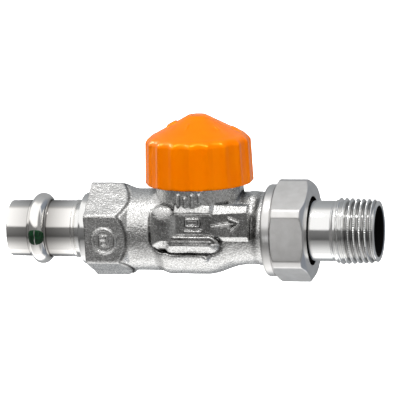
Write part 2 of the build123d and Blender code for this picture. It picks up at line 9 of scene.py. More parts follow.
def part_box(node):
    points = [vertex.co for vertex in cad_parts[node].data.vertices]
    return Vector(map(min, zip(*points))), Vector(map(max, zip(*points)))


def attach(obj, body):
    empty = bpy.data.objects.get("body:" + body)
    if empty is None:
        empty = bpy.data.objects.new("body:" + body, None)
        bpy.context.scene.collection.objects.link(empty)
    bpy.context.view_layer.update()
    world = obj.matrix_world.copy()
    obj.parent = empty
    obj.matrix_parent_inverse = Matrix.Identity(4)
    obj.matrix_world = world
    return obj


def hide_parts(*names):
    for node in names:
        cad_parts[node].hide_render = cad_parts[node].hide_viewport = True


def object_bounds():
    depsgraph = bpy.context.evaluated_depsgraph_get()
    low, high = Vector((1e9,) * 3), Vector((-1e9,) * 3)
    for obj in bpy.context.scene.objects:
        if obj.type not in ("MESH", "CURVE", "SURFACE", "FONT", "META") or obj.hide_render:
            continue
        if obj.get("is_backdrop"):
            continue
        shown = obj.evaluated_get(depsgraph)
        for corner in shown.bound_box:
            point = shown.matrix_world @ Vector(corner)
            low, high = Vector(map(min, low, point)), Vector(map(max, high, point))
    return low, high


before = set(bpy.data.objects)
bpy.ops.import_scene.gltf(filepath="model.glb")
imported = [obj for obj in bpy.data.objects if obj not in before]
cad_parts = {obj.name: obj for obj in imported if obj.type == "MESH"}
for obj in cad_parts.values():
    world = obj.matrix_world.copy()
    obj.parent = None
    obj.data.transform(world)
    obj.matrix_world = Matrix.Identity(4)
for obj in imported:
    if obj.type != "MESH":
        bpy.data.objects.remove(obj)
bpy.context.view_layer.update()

# Lengths in this script are millimetres, turned to metres where a mesh is made. The pipe axis is X,
# the stem axis is Z, and the front looks towards -Y.
MM = 0.001
FAR = 1e9  # larger than any distance in the part
FULL_TURN = 2 * math.pi


def node_box(node):
    """Lowest and highest corner of a CAD node, in millimetres."""
    low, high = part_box(node)
    return np.array(low) / MM, np.array(high) / MM


BODY_LOW, BODY_HIGH = node_box("valve_body")
CAP_LOW, CAP_HIGH = node_box("protection_cap")
NUT_LOW, NUT_HIGH = node_box("union_nut")
STEM_X = (CAP_LOW[0] + CAP_HIGH[0]) / 2

# ---- mesh helpers


def signed_volume(mesh):
    """Volume inside a closed mesh, negative where its faces look inwards."""
    shell = bmesh.new()
    shell.from_mesh(mesh)
    volume = shell.calc_volume(signed=True)
    shell.free()
    return volume


def make_piece(name, points, faces, body, material):
    """A smooth mesh object from points in millimetres, riding on a CAD body."""
    mesh = bpy.data.meshes.new(name)
    mesh.from_pydata((np.asarray(points) * MM).tolist(), [], [list(map(int, f)) for f in faces])
    mesh.validate()
    if signed_volume(mesh) < 0:
        mesh.flip_normals()
    mesh.materials.append(material)
    mesh.polygons.foreach_set("use_smooth", [True] * len(mesh.polygons))
    piece = bpy.data.objects.new(name, mesh)
    bpy.context.scene.collection.objects.link(piece)
    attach(piece, body)
    return piece


def split_edges(piece, degrees):
    """Keeps edges sharper than this angle crisp under smooth shading."""
    piece.data.update()
    piece.data.set_sharp_from_angle(angle=math.radians(degrees))


def store_painted_shade(piece, values):
    """Gives each point of a piece its amount of painted shade between 0 and 1, which the material reads."""
    layer = piece.data.attributes.new("painted_shade", "FLOAT", "POINT")
    layer.data.foreach_set("value", np.asarray(values, np.float32))


def arc(centre, radius, start, end, steps):
    """Points of an arc in the outline's plane, angles in degrees from the first axis."""
    angles = np.radians(np.linspace(start, end, steps))
    return [(centre[0] + radius * math.cos(a), centre[1] + radius * math.sin(a)) for a in angles]


def round_corners(outline, steps=6):
    """Corner points (a, b) or (a, b, radius) of a closed outline, with each radius as an arc."""
    result = []
    for index, corner in enumerate(outline):
        here = np.array(corner[:2], float)
        if len(corner) < 3:
            result.append(here)
            continue
        sides = [np.array(outline[(index + k) % len(outline)][:2], float) - here for k in (-1, 1)]
        lengths = [np.linalg.norm(side) for side in sides]
        before, after = sides[0] / lengths[0], sides[1] / lengths[1]
        half = math.acos(np.clip(before @ after, -1, 1)) / 2
        reach = min(corner[2] / math.tan(half), 0.499 * lengths[0], 0.499 * lengths[1])
        bisector = before + after
        centre = here + bisector / np.linalg.norm(bisector) * reach / math.cos(half)
        start = here + before * reach - centre
        end = here + after * reach - centre
        turn = math.atan2(start[0] * end[1] - start[1] * end[0], start @ end)
        for angle in np.linspace(0, turn, steps + 1):
            cos, sin = math.cos(angle), math.sin(angle)
            result.append(centre + (start[0] * cos - start[1] * sin, start[0] * sin + start[1] * cos))
    return np.array(result)


def about_pipe(x, radius, angle):
    """Points at a distance along the pipe and a radius. Angle 0 is up, then towards the front."""
    return np.stack([x, -radius * math.sin(angle), radius * math.cos(angle)], axis=1)


def about_stem(radius, z, angle):
    """Points at a radius and a height about the stem axis."""
    return np.stack([STEM_X + radius * math.cos(angle), radius * math.sin(angle), z], axis=1)


def grid_faces(rows, columns, closed_rows=True, closed_columns=True):
    """Quads between neighbouring columns of points. Rows and columns may close on themselves."""
    faces = []
    for column in range(columns if closed_columns else columns - 1):
        here = column * rows
        after = (column + 1) % columns * rows
        for row in range(rows if closed_rows else rows - 1):
            up = (row + 1) % rows
            faces.append((here + row, here + up, after + up, after + row))
    return faces


def ring_of_outlines(outline, segments, place, closed=True):
    """Quads of an outline that may change with the angle, carried round a full turn."""
    rings = []
    for angle in np.linspace(0, FULL_TURN, segments, endpoint=False):
        run = outline(angle)
        rings.append(place(run[:, 0], run[:, 1], angle))
    return np.concatenate(rings), grid_faces(len(rings[0]), segments, closed_rows=closed)


def turned_on_pipe(name, outline, material, segments=240):
    """A part of the fixed body turned about the pipe axis, from a closed outline of (x, radius)."""
    rounded = round_corners(outline)
    points, faces = ring_of_outlines(lambda angle: rounded, segments, about_pipe)
    piece = make_piece(name, points, faces, "body", material)
    split_edges(piece, 32)
    return piece


# ---- solid modelling by distance


def smooth_max(a, b, radius):
    """Larger of two distances, with the corner between them rounded."""
    blend = np.clip(0.5 + 0.5 * (a - b) / radius, 0, 1)
    return b + (a - b) * blend + radius * blend * (1 - blend)


def smooth_min(a, b, radius):
    """Smaller of two distances, with the corner between them filleted."""
    return -smooth_max(-a, -b, radius)


def flats_distance(y, z, turns, half, rounding, crown=0):
    """Distance to pairs of flats about the pipe, each pair facing a turn in degrees."""
    flats = -FAR
    for turn in turns:
        angle = math.radians(turn)
        across = y * math.cos(angle) + z * math.sin(angle)
        bulge = crown * (y**2 + z**2 - across**2)
        flats = smooth_max(flats, np.abs(across) - half + bulge, rounding)
    return flats


def bell(value, width):
    """1 where the value is 0, falling away smoothly on both sides."""
    return np.exp(-((value / width) ** 2))


def profile(value, pairs):
    """Height over a value, on straight lines between (value, height) pairs."""
    return np.interp(value, *zip(*pairs))


def rounded_rectangle(u, v, centre_u, centre_v, half_u, half_v, corner):
    """Distance to a rectangle with rounded corners in a plane."""
    du = np.abs(u - centre_u) - half_u + corner
    dv = np.abs(v - centre_v) - half_v + corner
    outside = np.hypot(np.maximum(du, 0), np.maximum(dv, 0))
    return outside + np.minimum(np.maximum(du, dv), 0) - corner


def segment_distance(u, v, start, end):
    """Distance to a straight stroke in a plane."""
    along = np.array(end, float) - np.array(start, float)
    share = ((u - start[0]) * along[0] + (v - start[1]) * along[1]) / (along @ along)
    share = np.clip(share, 0, 1)
    return np.hypot(u - start[0] - share * along[0], v - start[1] - share * along[1])


def surface_of(distance, low, high, step):
    """Mesh of the zero surface of a distance function, one point per crossed cell of a grid."""
    axes = [np.arange(low[k], high[k] + step, step) for k in range(3)]
    values = np.empty([len(axis) for axis in axes], np.float32)
    slab = 24  # grid layers worked out at a time
    for start in range(0, len(axes[0]), slab):
        x, y, z = np.meshgrid(axes[0][start : start + slab], axes[1], axes[2], indexing="ij")
        values[start : start + slab] = distance(x, y, z)
    inside = values < 0
    corners = [(a, b, c) for a in (0, 1) for b in (0, 1) for c in (0, 1)]
    cells = [n - 1 for n in values.shape]

    def shifted(grid, corner):
        a, b, c = corner
        return grid[a : a + cells[0], b : b + cells[1], c : c + cells[2]]

    filled = sum(shifted(inside, corner).astype(np.int8) for corner in corners)
    crossed = (filled > 0) & (filled < len(corners))
    places = np.argwhere(crossed)
    number = np.full(crossed.shape, -1, np.int64)
    number[crossed] = np.arange(len(places))
    total = np.zeros((len(places), 3))
    count = np.zeros(len(places))
    for first in corners:
        for axis in range(3):
            if first[axis]:
                continue
            second = tuple(1 if k == axis else first[k] for k in range(3))
            start = shifted(values, first)[crossed].astype(float)
            end = shifted(values, second)[crossed].astype(float)
            cut = (start < 0) != (end < 0)
            total[cut] += first
            total[cut, axis] += start[cut] / (start[cut] - end[cut])
            count += cut
    origin = np.array([axis[0] for axis in axes])
    points = (places + total / count[:, None]) * step + origin
    faces = []
    for axis in range(3):
        second, third = (axis + 1) % 3, (axis + 2) % 3
        here = [slice(1, n - 1) for n in values.shape]
        here[axis] = slice(0, values.shape[axis] - 1)
        along = list(here)
        along[axis] = slice(1, values.shape[axis])
        start, end = inside[tuple(here)], inside[tuple(along)]
        for leaving in (True, False):
            edges = np.argwhere((start & ~end) if leaving else (~start & end))
            ring = []
            for onward in ((0, 0), (1, 0), (1, 1), (0, 1)):
                cell = edges.copy()
                cell[:, [second, third]] += onward
                ring.append(number[tuple(cell.T)])
            faces.append(np.stack(ring if leaving else ring[::-1], axis=1))
    return settle(distance, points), np.concatenate(faces)


def growth(distance, points, reach):
    """How much a distance grows over twice the reach, along each axis."""
    steps = reach * np.eye(3)
    return np.stack([distance(*(points + step).T) - distance(*(points - step).T) for step in steps], axis=1)


def settle(distance, points, rounds=3, reach=0.02, longest_move=0.12):
    """Moves points onto the zero surface, along the slope of the distance."""
    for _ in range(rounds):
        value = distance(*points.T)
        slope = growth(distance, points, reach) / (2 * reach)
        steepness = np.maximum((slope**2).sum(axis=1), 0.25)
        move = slope * (value / steepness)[:, None]
        length = np.linalg.norm(move, axis=1)
        move *= np.minimum(1, longest_move / np.maximum(length, 1e-9))[:, None]
        points = points - move
    return points


def outward(distance, points, reach=0.05):
    """Unit vectors away from the surface at points, along the slope of the distance."""
    slope = growth(distance, points, reach)
    return slope / np.maximum(np.linalg.norm(slope, axis=1), 1e-9)[:, None]


def add_painted_shade_values(piece, distance, points, reach, gain, share=1, extra=0):
    """Paints shade into hollows: finds how deep each point lies in a hollow, from how little the distance
    grows above it, and stores it as painted shade.
    """
    away = points + outward(distance, points) * reach
    open_share = distance(*away.T) / reach
    values = np.clip(gain * (0.93 - open_share), 0, 0.85)
    store_painted_shade(piece, np.maximum(values * share, extra))


# ---- shader helpers

WHITE = (1, 1, 1, 1)
BLACK = (0, 0, 0, 1)
MIX_SOCKETS = {"FLOAT": (2, 3, 0), "RGBA": (6, 7, 2)}  # first, second and result of a mix node


def linear(value):
    """Linear light for a display value between 0 and 1."""
    return value / 12.92 if value <= 0.04045 else ((value + 0.055) / 1.055) ** 2.4


def colour(red, green, blue):
    """Linear colour for a display colour given in 0 to 255."""
    return (linear(red / 255), linear(green / 255), linear(blue / 255), 1.0)


def shader_of(material):
    """The principled shader of a material."""
    return material.node_tree.nodes["Principled BSDF"]


def feed(tree, socket, value):
    """Gives an input a fixed value, or links the output of another node to it."""
    if isinstance(value, bpy.types.NodeSocket):
        tree.links.new(value, socket)
    else:
        socket.default_value = value


def source_of(socket):
    """What an input gets now: the output linked to it, or its fixed value."""
    return socket.links[0].from_socket if socket.is_linked else socket.default_value


def math_node(tree, operation, *values):
    """The result of a math node on numbers or outputs."""
    node = tree.nodes.new("ShaderNodeMath")
    node.operation = operation
    for socket, value in zip(node.inputs, values):
        feed(tree, socket, value)
    return node.outputs["Value"]


def range_node(tree, value, low, high, low_result=0.0, high_result=1.0):
    """A value between two limits, stretched to lie between two results."""
    node = tree.nodes.new("ShaderNodeMapRange")
    feed(tree, node.inputs["Value"], value)
    node.inputs["From Min"].default_value = low
    node.inputs["From Max"].default_value = high
    node.inputs["To Min"].default_value = low_result
    node.inputs["To Max"].default_value = high_result
    return node.outputs["Result"]


def mix_node(tree, share, first, second, kind="RGBA"):
    """The first value or output where the share is 0, the second where it is 1."""
    node = tree.nodes.new("ShaderNodeMix")
    node.data_type = kind
    first_socket, second_socket, result = MIX_SOCKETS[kind]
    feed(tree, node.inputs[0], share)
    feed(tree, node.inputs[first_socket], first)
    feed(tree, node.inputs[second_socket], second)
    return node.outputs[result]


def noise_node(tree, size, detail, stretch):
    """Noise over the part's own coordinates, with features of about this size in millimetres."""
    place = tree.nodes.new("ShaderNodeTexCoord")
    mapping = tree.nodes.new("ShaderNodeMapping")
    mapping.inputs["Scale"].default_value = stretch
    noise = tree.nodes.new("ShaderNodeTexNoise")
    noise.inputs["Scale"].default_value = 1 / (size * MM)
    noise.inputs["Detail"].default_value = detail
    tree.links.new(place.outputs["Object"], mapping.inputs["Vector"])
    tree.links.new(mapping.outputs["Vector"], noise.inputs["Vector"])
    return noise.outputs["Fac"]


def new_material(name, base, metallic, roughness):
    """A material with its principled shader, ready for detail nodes."""
    material = bpy.data.materials.new(name)
    material.use_nodes = True
    shader = shader_of(material)
    shader.inputs["Base Color"].default_value = base
    shader.inputs["Metallic"].default_value = metallic
    shader.inputs["Roughness"].default_value = roughness
    return material


NOISE_LOW, NOISE_HIGH = 0.3, 0.7  # nearly all of the noise lies between these


def add_bump(material, size, strength, depth, detail=2.0, stretch=(1, 1, 1)):
    """Adds a layer of small relief. Depth is in millimetres."""
    tree = material.node_tree
    normal = shader_of(material).inputs["Normal"]
    bump = tree.nodes.new("ShaderNodeBump")
    bump.inputs["Strength"].default_value = strength
    bump.inputs["Distance"].default_value = depth * MM
    tree.links.new(noise_node(tree, size, detail, stretch), bump.inputs["Height"])
    if normal.is_linked:
        tree.links.new(source_of(normal), bump.inputs["Normal"])
    tree.links.new(bump.outputs["Normal"], normal)


def add_wear(material, size, low, high, detail=3.0, stretch=(1, 1, 1)):
    """Lets the roughness wander between two values."""
    tree = material.node_tree
    noise = noise_node(tree, size, detail, stretch)
    rough = range_node(tree, noise, NOISE_LOW, NOISE_HIGH, low, high)
    tree.links.new(rough, shader_of(material).inputs["Roughness"])


def add_tone(material, size, dark, light, detail=3.0, stretch=(1, 1, 1)):
    """Lets the base colour wander between two colours."""
    tree = material.node_tree
    ramp = tree.nodes.new("ShaderNodeValToRGB")
    ends = zip(ramp.color_ramp.elements, (NOISE_LOW, NOISE_HIGH), (dark, light))
    for element, position, tone in ends:
        element.position = position
        element.color = tone
    tree.links.new(noise_node(tree, size, detail, stretch), ramp.inputs["Fac"])
    tree.links.new(ramp.outputs["Color"], shader_of(material).inputs["Base Color"])


def painted_shade_of(tree):
    """The amount of painted shade that the mesh stores for each point."""
    node = tree.nodes.new("ShaderNodeAttribute")
    node.attribute_name = "painted_shade"
    return node.outputs["Fac"]


def add_painted_shade(material, dark):
    """Paints shade: darkens the base colour and the edge tint where the mesh stores painted shade."""
    tree = material.node_tree
    inputs = shader_of(material).inputs
    painted_shade = painted_shade_of(tree)
    base = mix_node(tree, painted_shade, source_of(inputs["Base Color"]), dark)
    tree.links.new(base, inputs["Base Color"])
    tree.links.new(mix_node(tree, painted_shade, WHITE, BLACK), inputs["Specular Tint"])


def dull_depths(material):
    """Makes a polished material matt where its painted shade is deepest, so that those places stay dark."""
    tree = material.node_tree
    rough = shader_of(material).inputs["Roughness"]
    deep = math_node(tree, "GREATER_THAN", painted_shade_of(tree), 0.95)
    tree.links.new(mix_node(tree, deep, source_of(rough), 0.9, "FLOAT"), rough)


# ---- materials

LATHE_RINGS = (1, 0.02, 0.02)  # relief that changes along the pipe only
LATHE_RINGS_UPRIGHT = (0.02, 0.02, 1)  # relief that changes along the stem only

cast_nickel = new_material("cast_nickel", colour(228, 227, 224), 1, 0.3)
add_tone(cast_nickel, 0.6, colour(192, 191, 189), colour(252, 252, 251))
# painted shade: a near black colour mixed in where the mesh stores painted shade
add_painted_shade(cast_nickel, colour(30, 26, 24))
add_wear(cast_nickel, 0.8, 0.18, 0.32)
add_bump(cast_nickel, 0.5, 1.0, 0.15, 2.0)
add_bump(cast_nickel, 1.3, 0.6, 0.14, 1.0)

polished_nickel = new_material("polished_nickel", colour(238, 238, 237), 1, 0.1)
add_wear(polished_nickel, 2.0, 0.06, 0.15)
# painted shade: a near black colour mixed in where the mesh stores painted shade
add_painted_shade(polished_nickel, colour(16, 14, 12))
dull_depths(polished_nickel)
add_bump(polished_nickel, 0.12, 0.12, 0.02, 2.0, LATHE_RINGS)

satin_nickel = new_material("satin_nickel", colour(228, 227, 226), 1, 0.34)
add_tone(satin_nickel, 3.0, colour(224, 223, 221), colour(236, 235, 234))
# painted shade: a dark grey mixed in where the mesh stores painted shade
add_painted_shade(satin_nickel, colour(60, 56, 52))
add_wear(satin_nickel, 1.0, 0.29, 0.33, 3.0, (0.15, 1, 1))
add_bump(satin_nickel, 0.16, 0.08, 0.015, 2.0, (0.06, 1, 1))

polished_steel = new_material("polished_steel", colour(250, 248, 245), 1, 0.08)
# painted shade: a dark brown mixed in where the mesh stores painted shade
add_painted_shade(polished_steel, colour(52, 44, 36))
add_wear(polished_steel, 2.5, 0.05, 0.13)
add_bump(polished_steel, 0.1, 0.08, 0.02, 2.0, LATHE_RINGS)

steel_pin = new_material("steel_pin", colour(205, 206, 208), 1, 0.22)
add_wear(steel_pin, 0.8, 0.16, 0.3)
add_bump(steel_pin, 0.1, 0.15, 0.02, 2.0, LATHE_RINGS_UPRIGHT)

plain_brass = new_material("plain_brass", colour(214, 178, 104), 1, 0.28)
add_tone(plain_brass, 2.0, colour(205, 166, 92), colour(222, 190, 120))
add_wear(plain_brass, 1.2, 0.2, 0.36)
add_bump(plain_brass, 0.15, 0.2, 0.03, 2.0, LATHE_RINGS_UPRIGHT)

black_seal = new_material("black_seal", colour(26, 26, 27), 0, 0.55)
add_wear(black_seal, 0.8, 0.45, 0.65)
add_bump(black_seal, 0.3, 0.3, 0.03)

dial_plastic = new_material("dial_plastic", colour(236, 236, 230), 0, 0.4)
add_wear(dial_plastic, 1.0, 0.34, 0.48)
add_bump(dial_plastic, 0.4, 0.2, 0.03)

green_paint = new_material("green_paint", colour(4, 42, 20), 0, 0.3)
add_tone(green_paint, 0.9, colour(2, 22, 10), colour(8, 60, 28))
add_bump(green_paint, 0.5, 0.5, 0.05)

orange_cap = new_material("orange_cap", colour(246, 122, 0), 0, 0.3)
shader_of(orange_cap).inputs["Specular Tint"].default_value = (1, 0.5, 0.02, 1)
shader_of(orange_cap).inputs["IOR"].default_value = 1.38
add_tone(orange_cap, 6.0, colour(245, 119, 0), colour(247, 125, 0), 2.0)
add_wear(orange_cap, 1.5, 0.17, 0.25)
add_bump(orange_cap, 0.35, 0.08, 0.02)

# The CAD nodes that stay in view inside the valve, with the finish of each
SEALS = [
    "press_oring", "insert_oring", "sleeve_oring", "gland_oring", "stem_oring", "disc_seal", "union_oring",
]
BRASS = ["bonnet_insert", "throttle_sleeve", "gland_nut", "disc_holder", "disc_nut"]
STEEL = ["stem", "spring_plate", "stem_clip", "return_spring"]
for slot, finish, cad_nodes in (
    ("black_seal", black_seal, SEALS),
    ("plain_brass", plain_brass, BRASS),
    ("steel_pin", steel_pin, STEEL),
    ("dial_plastic", dial_plastic, ["preset_dial"]),
):
    for node in cad_nodes:
        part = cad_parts[node]
        part.data.materials.clear()
        part.data.materials.append(finish)

# ---- cast body: turned lengths and hexagon

BARREL = 13.2  # radii about the pipe
BELLY = 14.25
NECK = 10.9
BOSS = 13.9  # radius about the stem
HEAD = 14.05
SEAT = 4.4
LOWER = 7.4
CHAMBER = 9.65
WELL = 11.25
BODY_END = BODY_HIGH[0]
UNION_THREAD_X, UNION_THREAD_ROOT = 86.2, 12.05  # where the thread for the nut starts, and its radius
HEX_START = BODY_LOW[0]
HEX_END = HEX_START + 14.3
HEX_CORNER = 15.85  # radius to which its corners are turned
HEX_HALF = 13.5  # half its width across the flats
HEX_TURNS = (4.4, 64.4, 124.4)  # degrees about the pipe, one for each pair of flats
CONE = (0.61, 0.792)  # which way the cone at its inner end faces: along the pipe, outwards


def hexagon_sides(x, y, z):
    """Distances to the flats of the spanner hexagon and to the cone at its inner end."""
    flats = flats_distance(y, z, HEX_TURNS, HEX_HALF, 0.7)
    return flats, CONE[0] * (x - HEX_END) + CONE[1] * (np.hypot(y, z) - BARREL)


def inner_half(x):
    """0 on the half of the hexagon towards the socket, 1 on the half towards the barrel."""
    return np.clip(x - HEX_START - 8, 0, 1)


def hexagon_border_shade(x, y, z):
    """Painted shade along the line where the flats of the hexagon run out into its cone: 1 on that line, 0
    away from it.
    """
    flats, cone = hexagon_sides(x, y, z)
    return bell(flats - cone, 0.33) * bell(flats, 0.8) * inner_half(x)


def hexagon(x, y, z):
    """Distance to the spanner hexagon, with a notch along the border of its flats."""
    flats, cone = hexagon_sides(x, y, z)
    turned = smooth_max(np.hypot(y, z) - HEX_CORNER, cone, 0.4)
    notch = 0.45 * bell(flats - cone, 0.35) * inner_half(x)
    return smooth_max(smooth_max(flats, turned, 0.3), HEX_START - x, 0.5) + notch


def turned_lengths(x, y, z):
    """Distance to hexagon, barrel, boss, belly, neck and end ring, joined with fillets."""
    around = np.hypot(y, z)
    upright = np.hypot(x - STEM_X, y)
    barrel = np.maximum(around - BARREL, np.abs(x - 52) - 14)
    boss = smooth_max(upright - BOSS, -7 - z, 4)
    boss = np.maximum(boss, z - 17.3)
    belly = smooth_max(around - BELLY, 50.6 - x, 3.4)
    slope_to_neck = 0.47 * (x - 68.3) + 0.883 * (around - BELLY)
    belly = smooth_max(smooth_max(belly, slope_to_neck, 1.4), z - 2, 4)
    neck = np.maximum(around - NECK, 64 - x)
    above = 0.5 + 0.5 * np.tanh(3 * (z / np.maximum(around, 1) + 0.3))
    end_ring = smooth_max(around - NECK - 1.4 * above, np.abs(x - 86) - 2.7, 1.4)
    lump = np.sqrt(((x - 80.8) / 4.6) ** 2 + (y / 5.6) ** 2 + ((z - 8.8) / 4.0) ** 2) - 1

    shape = smooth_min(hexagon(x, y, z), barrel, 0.35)
    shape = smooth_min(shape, boss, 2.2)
    shape = smooth_min(shape, belly, 1.0)
    shape = smooth_min(shape, neck, 3.0)
    shape = smooth_min(shape, end_ring, 1.8)
    return smooth_min(shape, lump * 4, 1.2)


# ---- cast body: pads on front and back

# Each front is given as how far it stands from the pipe axis.
PAD_ROOT = 10  # where the pads start, inside the casting
LONG_PAD = (STEM_X - 0.3, -2.2)  # middle in x and z
LONG_PAD_HALF = (9.3, 3.1)  # half its length and height
LONG_PAD_LIP = [  # (way in from its outline, front) above the middle: a lip and a shallow trough
    (-0.5, 13.4), (0, 14.4), (0.5, 15.3), (0.85, 15.35), (1.3, 15.05), (1.7, 15.4), (3.1, 15.6),
]
LONG_PAD_BEVEL = [(-1, 12.1), (0, 13.05), (3.1, 15.85)]  # the same below the middle: a broad bevel
RIB = (STEM_X - 9.1, 2.7)  # the upright rib at the left end of the long pad
RIB_HALF = (4.55, 7.3)
PANEL_X = STEM_X + 6.6  # the panel above the long pad, to the right of the rib
PANEL_HALF = 12.0
PANEL_Z = (-1.4, 10.4)
PANEL_LIP = [  # (z, front) on its left: a flat with a sloped ledge above
    (-1.2, 12.7), (0.2, 14.3), (0.9, 14.05), (7.2, 14.0), (7.9, 14.7), (8.3, 14.75), (9.7, 14.0), (11, 13.2),
]


def long_pad_shape(x, z):
    """Outline distance and front of the long pad."""
    outline = rounded_rectangle(x, z, *LONG_PAD, *LONG_PAD_HALF, 3.09)
    share = np.clip((z - LONG_PAD[1]) / 0.5, 0, 1)
    front = profile(-outline, LONG_PAD_LIP) * share + profile(-outline, LONG_PAD_BEVEL) * (1 - share)
    return outline, front


def rib_shape(x, z):
    """Outline distance and front of the upright rib: bent, with a bevel above and below."""
    outline = rounded_rectangle(x, z, *RIB, *RIB_HALF, 3.9)
    front = 15.95 - 0.105 * (x - STEM_X + 8.8) ** 2
    front = np.minimum(front, 15.75 + 0.93 * (z + 0.9))
    return outline, smooth_min(front, 14.9 - 0.7 * (z - 8.6), 1.6)


def panel(x, z, out):
    """Distance to the panel beside the rib, which carries a ledge that climbs on its right."""
    right_share = np.clip((x - STEM_X - 6.2) / 1.4, 0, 1)
    ledge_z = 7.7 + 0.06 * (x - STEM_X - 7)
    under_ledge = 14.1 - 0.8 * np.maximum(0.4 - z, 0)
    right = np.where(z < ledge_z, under_ledge, 14.1 - 0.75 * (z - ledge_z))
    front = profile(z, PANEL_LIP) * (1 - right_share) + right * right_share
    shape = smooth_max(0.77 * (out - front), np.abs(x - PANEL_X) - PANEL_HALF, 0.6)
    shape = smooth_max(shape, z - PANEL_Z[1], 0.5)
    shape = smooth_max(shape, PANEL_Z[0] - z, 0.5)
    return np.maximum(shape, 9.5 - out)


def with_pads(shape, x, y, z):
    """Adds the pads and the parting groove round them to the distance of the turned lengths."""
    out = np.abs(y)  # the pads are the same on the front and on the back
    long_outline, long_front = long_pad_shape(x, z)
    rib_outline, rib_front = rib_shape(x, z)
    long_pad = smooth_max(long_outline, 0.75 * (out - long_front), 0.35)
    rib = smooth_max(rib_outline, 0.75 * (out - rib_front), 0.4)

    shape = smooth_min(shape, panel(x, z, out), 0.3)
    # the bevels run down below the skin of the casting, which is cut back for them
    cut_for_long = np.maximum(long_outline, 0.7 * (long_front - out))
    cut_for_rib = np.maximum(np.maximum(rib_outline, 0.7 * (rib_front - out)), z - 1)
    shape = np.maximum(shape, -np.maximum(np.minimum(cut_for_long, cut_for_rib), 9 - out))
    shape = smooth_min(shape, np.maximum(long_pad, PAD_ROOT - out), 0.2)
    shape = smooth_min(shape, np.maximum(rib, PAD_ROOT - out), 0.25)

    groove = 0.5 * bell(smooth_min(long_outline, rib_outline, 0.6) - 0.35, 0.42)
    below = np.clip(0.6 - z, 0, 1)
    beside = np.clip((STEM_X - 11 - x) / 1.5, 0, 1) * np.clip(9 - z, 0, 1)
    return shape + groove * np.maximum(below, beside) * np.clip((out - 9) / 2, 0, 1)


def cast_outside(x, y, z):
    """Distance to the outer skin of the casting, without its small marks."""
    shape = with_pads(turned_lengths(x, y, z), x, y, z)
    shape = np.maximum(np.maximum(shape, HEX_START - x), x - BODY_END)
    threaded = np.maximum(shape, np.hypot(y, z) - UNION_THREAD_ROOT)
    shape = np.where(x > UNION_THREAD_X, threaded, shape)
    head = np.maximum(np.hypot(x - STEM_X, y) - HEAD, np.maximum(z - BODY_HIGH[2], 5 - z))
    return smooth_min(shape, head, 0.3)


# ---- cast body: marks, passages, mesh

# Plain raised marks that stand for no maker. A stroke is a start and an end in (x, z) and half its width.
BARS = [
    ((STEM_X + across, low), (STEM_X + across, high), 0.42)
    for across, low, high in ((-3.9, 10.4, 13.6), (-1.6, 10.4, 12.6), (0.8, 10.4, 13.6), (3.2, 11.4, 13.6))
]
ARROW_TIP = (78.8, 5.1)
ARROW = [((69.9, 3.7), (77.6, 4.9), 0.42), ((75.6, 6.3), ARROW_TIP, 0.42), ((76.2, 2.7), ARROW_TIP, 0.42)]
UNDERLINE = ((STEM_X - 1.9, 2.2), (STEM_X + 3.4, 2.2), 0.36)
BADGE = (33.9, -1.4)  # middle of the ring on the hexagon
DASH = ((BADGE[0] - 1.3, BADGE[1]), (BADGE[0] + 1.3, BADGE[1]), 0.25)


def cast_marks(x, z):
    """Height of the raised marks, between 0 and 1."""
    marks = np.abs(rounded_rectangle(x, z, STEM_X + 0.7, 5.0, 2.2, 1.2, 0.5)) - 0.3
    marks = np.minimum(marks, np.abs(rounded_rectangle(x, z, *BADGE, 1.2, 1.7, 0.5)) - 0.26)
    marks = np.minimum(marks, np.abs(np.hypot(x - BADGE[0], z - BADGE[1]) - 3.9) - 0.32)
    for start, end, half_width in (*BARS, *ARROW, UNDERLINE, DASH):
        marks = np.minimum(marks, segment_distance(x, z, start, end) - half_width)
    return np.clip(0.5 - marks / 0.4, 0, 1)


def cast_inside(x, y, z):
    """Distance to the waterway, the threaded inlet and the well for the insert: negative inside them."""
    around = np.hypot(y, z)
    upright = np.hypot(x - STEM_X, y)
    thread = np.maximum(around - 10.33, x - HEX_START - 11.5)
    inlet = np.maximum(around - 6.6, x - 50.5)
    duct = rounded_rectangle(x, y, 53, 0, 10, 4.2, 2)
    lower = np.maximum(np.minimum(duct, upright - LOWER), np.abs(z + 8) - 2.8)
    seat = np.maximum(upright - SEAT, np.abs(z + 4.2) - 2)
    chamber = np.maximum(upright - CHAMBER, -2.7 - z)
    round_seat = np.maximum(upright - CHAMBER, np.maximum(5.2 - upright, -3.5 - z))
    well = np.maximum(upright - WELL, 12.3 - z)
    outlet = np.maximum(rounded_rectangle(y, z, 0, 2.4, 5.5, 4.8, 2), np.abs(x - 71.8) - 4)
    bore = np.maximum(around - 7.1, 75.5 - x)
    nose_cone = np.maximum(around - 8.2 - 0.576 * np.maximum(x - 88.9, 0), 88.9 - x)
    space = thread
    for other in (inlet, lower, seat, chamber, round_seat, well, outlet, bore, nose_cone):
        space = np.minimum(space, other)
    return space


def casting():
    """Distance to the casting, marks and unevenness included."""
    rng = np.random.default_rng(3)
    waves = [(rng.normal(size=3), rng.uniform(3.0, 9.0), rng.uniform(0, 6.28)) for _ in range(14)]
    nub = (67.4, -7.3)  # where a small moulding point stands, in x and z

    def distance(x, y, z):
        uneven = 0
        for direction, length, phase in waves:
            unit = direction / np.linalg.norm(direction)
            along = x * unit[0] + y * unit[1] + z * unit[2]
            uneven = uneven + np.sin(FULL_TURN * along / length + phase)
        in_front = np.clip(-y / 3, 0, 1)
        point = 0.8 * np.exp(-(((x - nub[0]) ** 2 + (z - nub[1]) ** 2) / 0.7)) * in_front
        outside = cast_outside(x, y, z) - 0.6 * cast_marks(x, z) * in_front - point + 0.012 * uneven
        return np.maximum(outside, -cast_inside(x, y, z))

    return distance


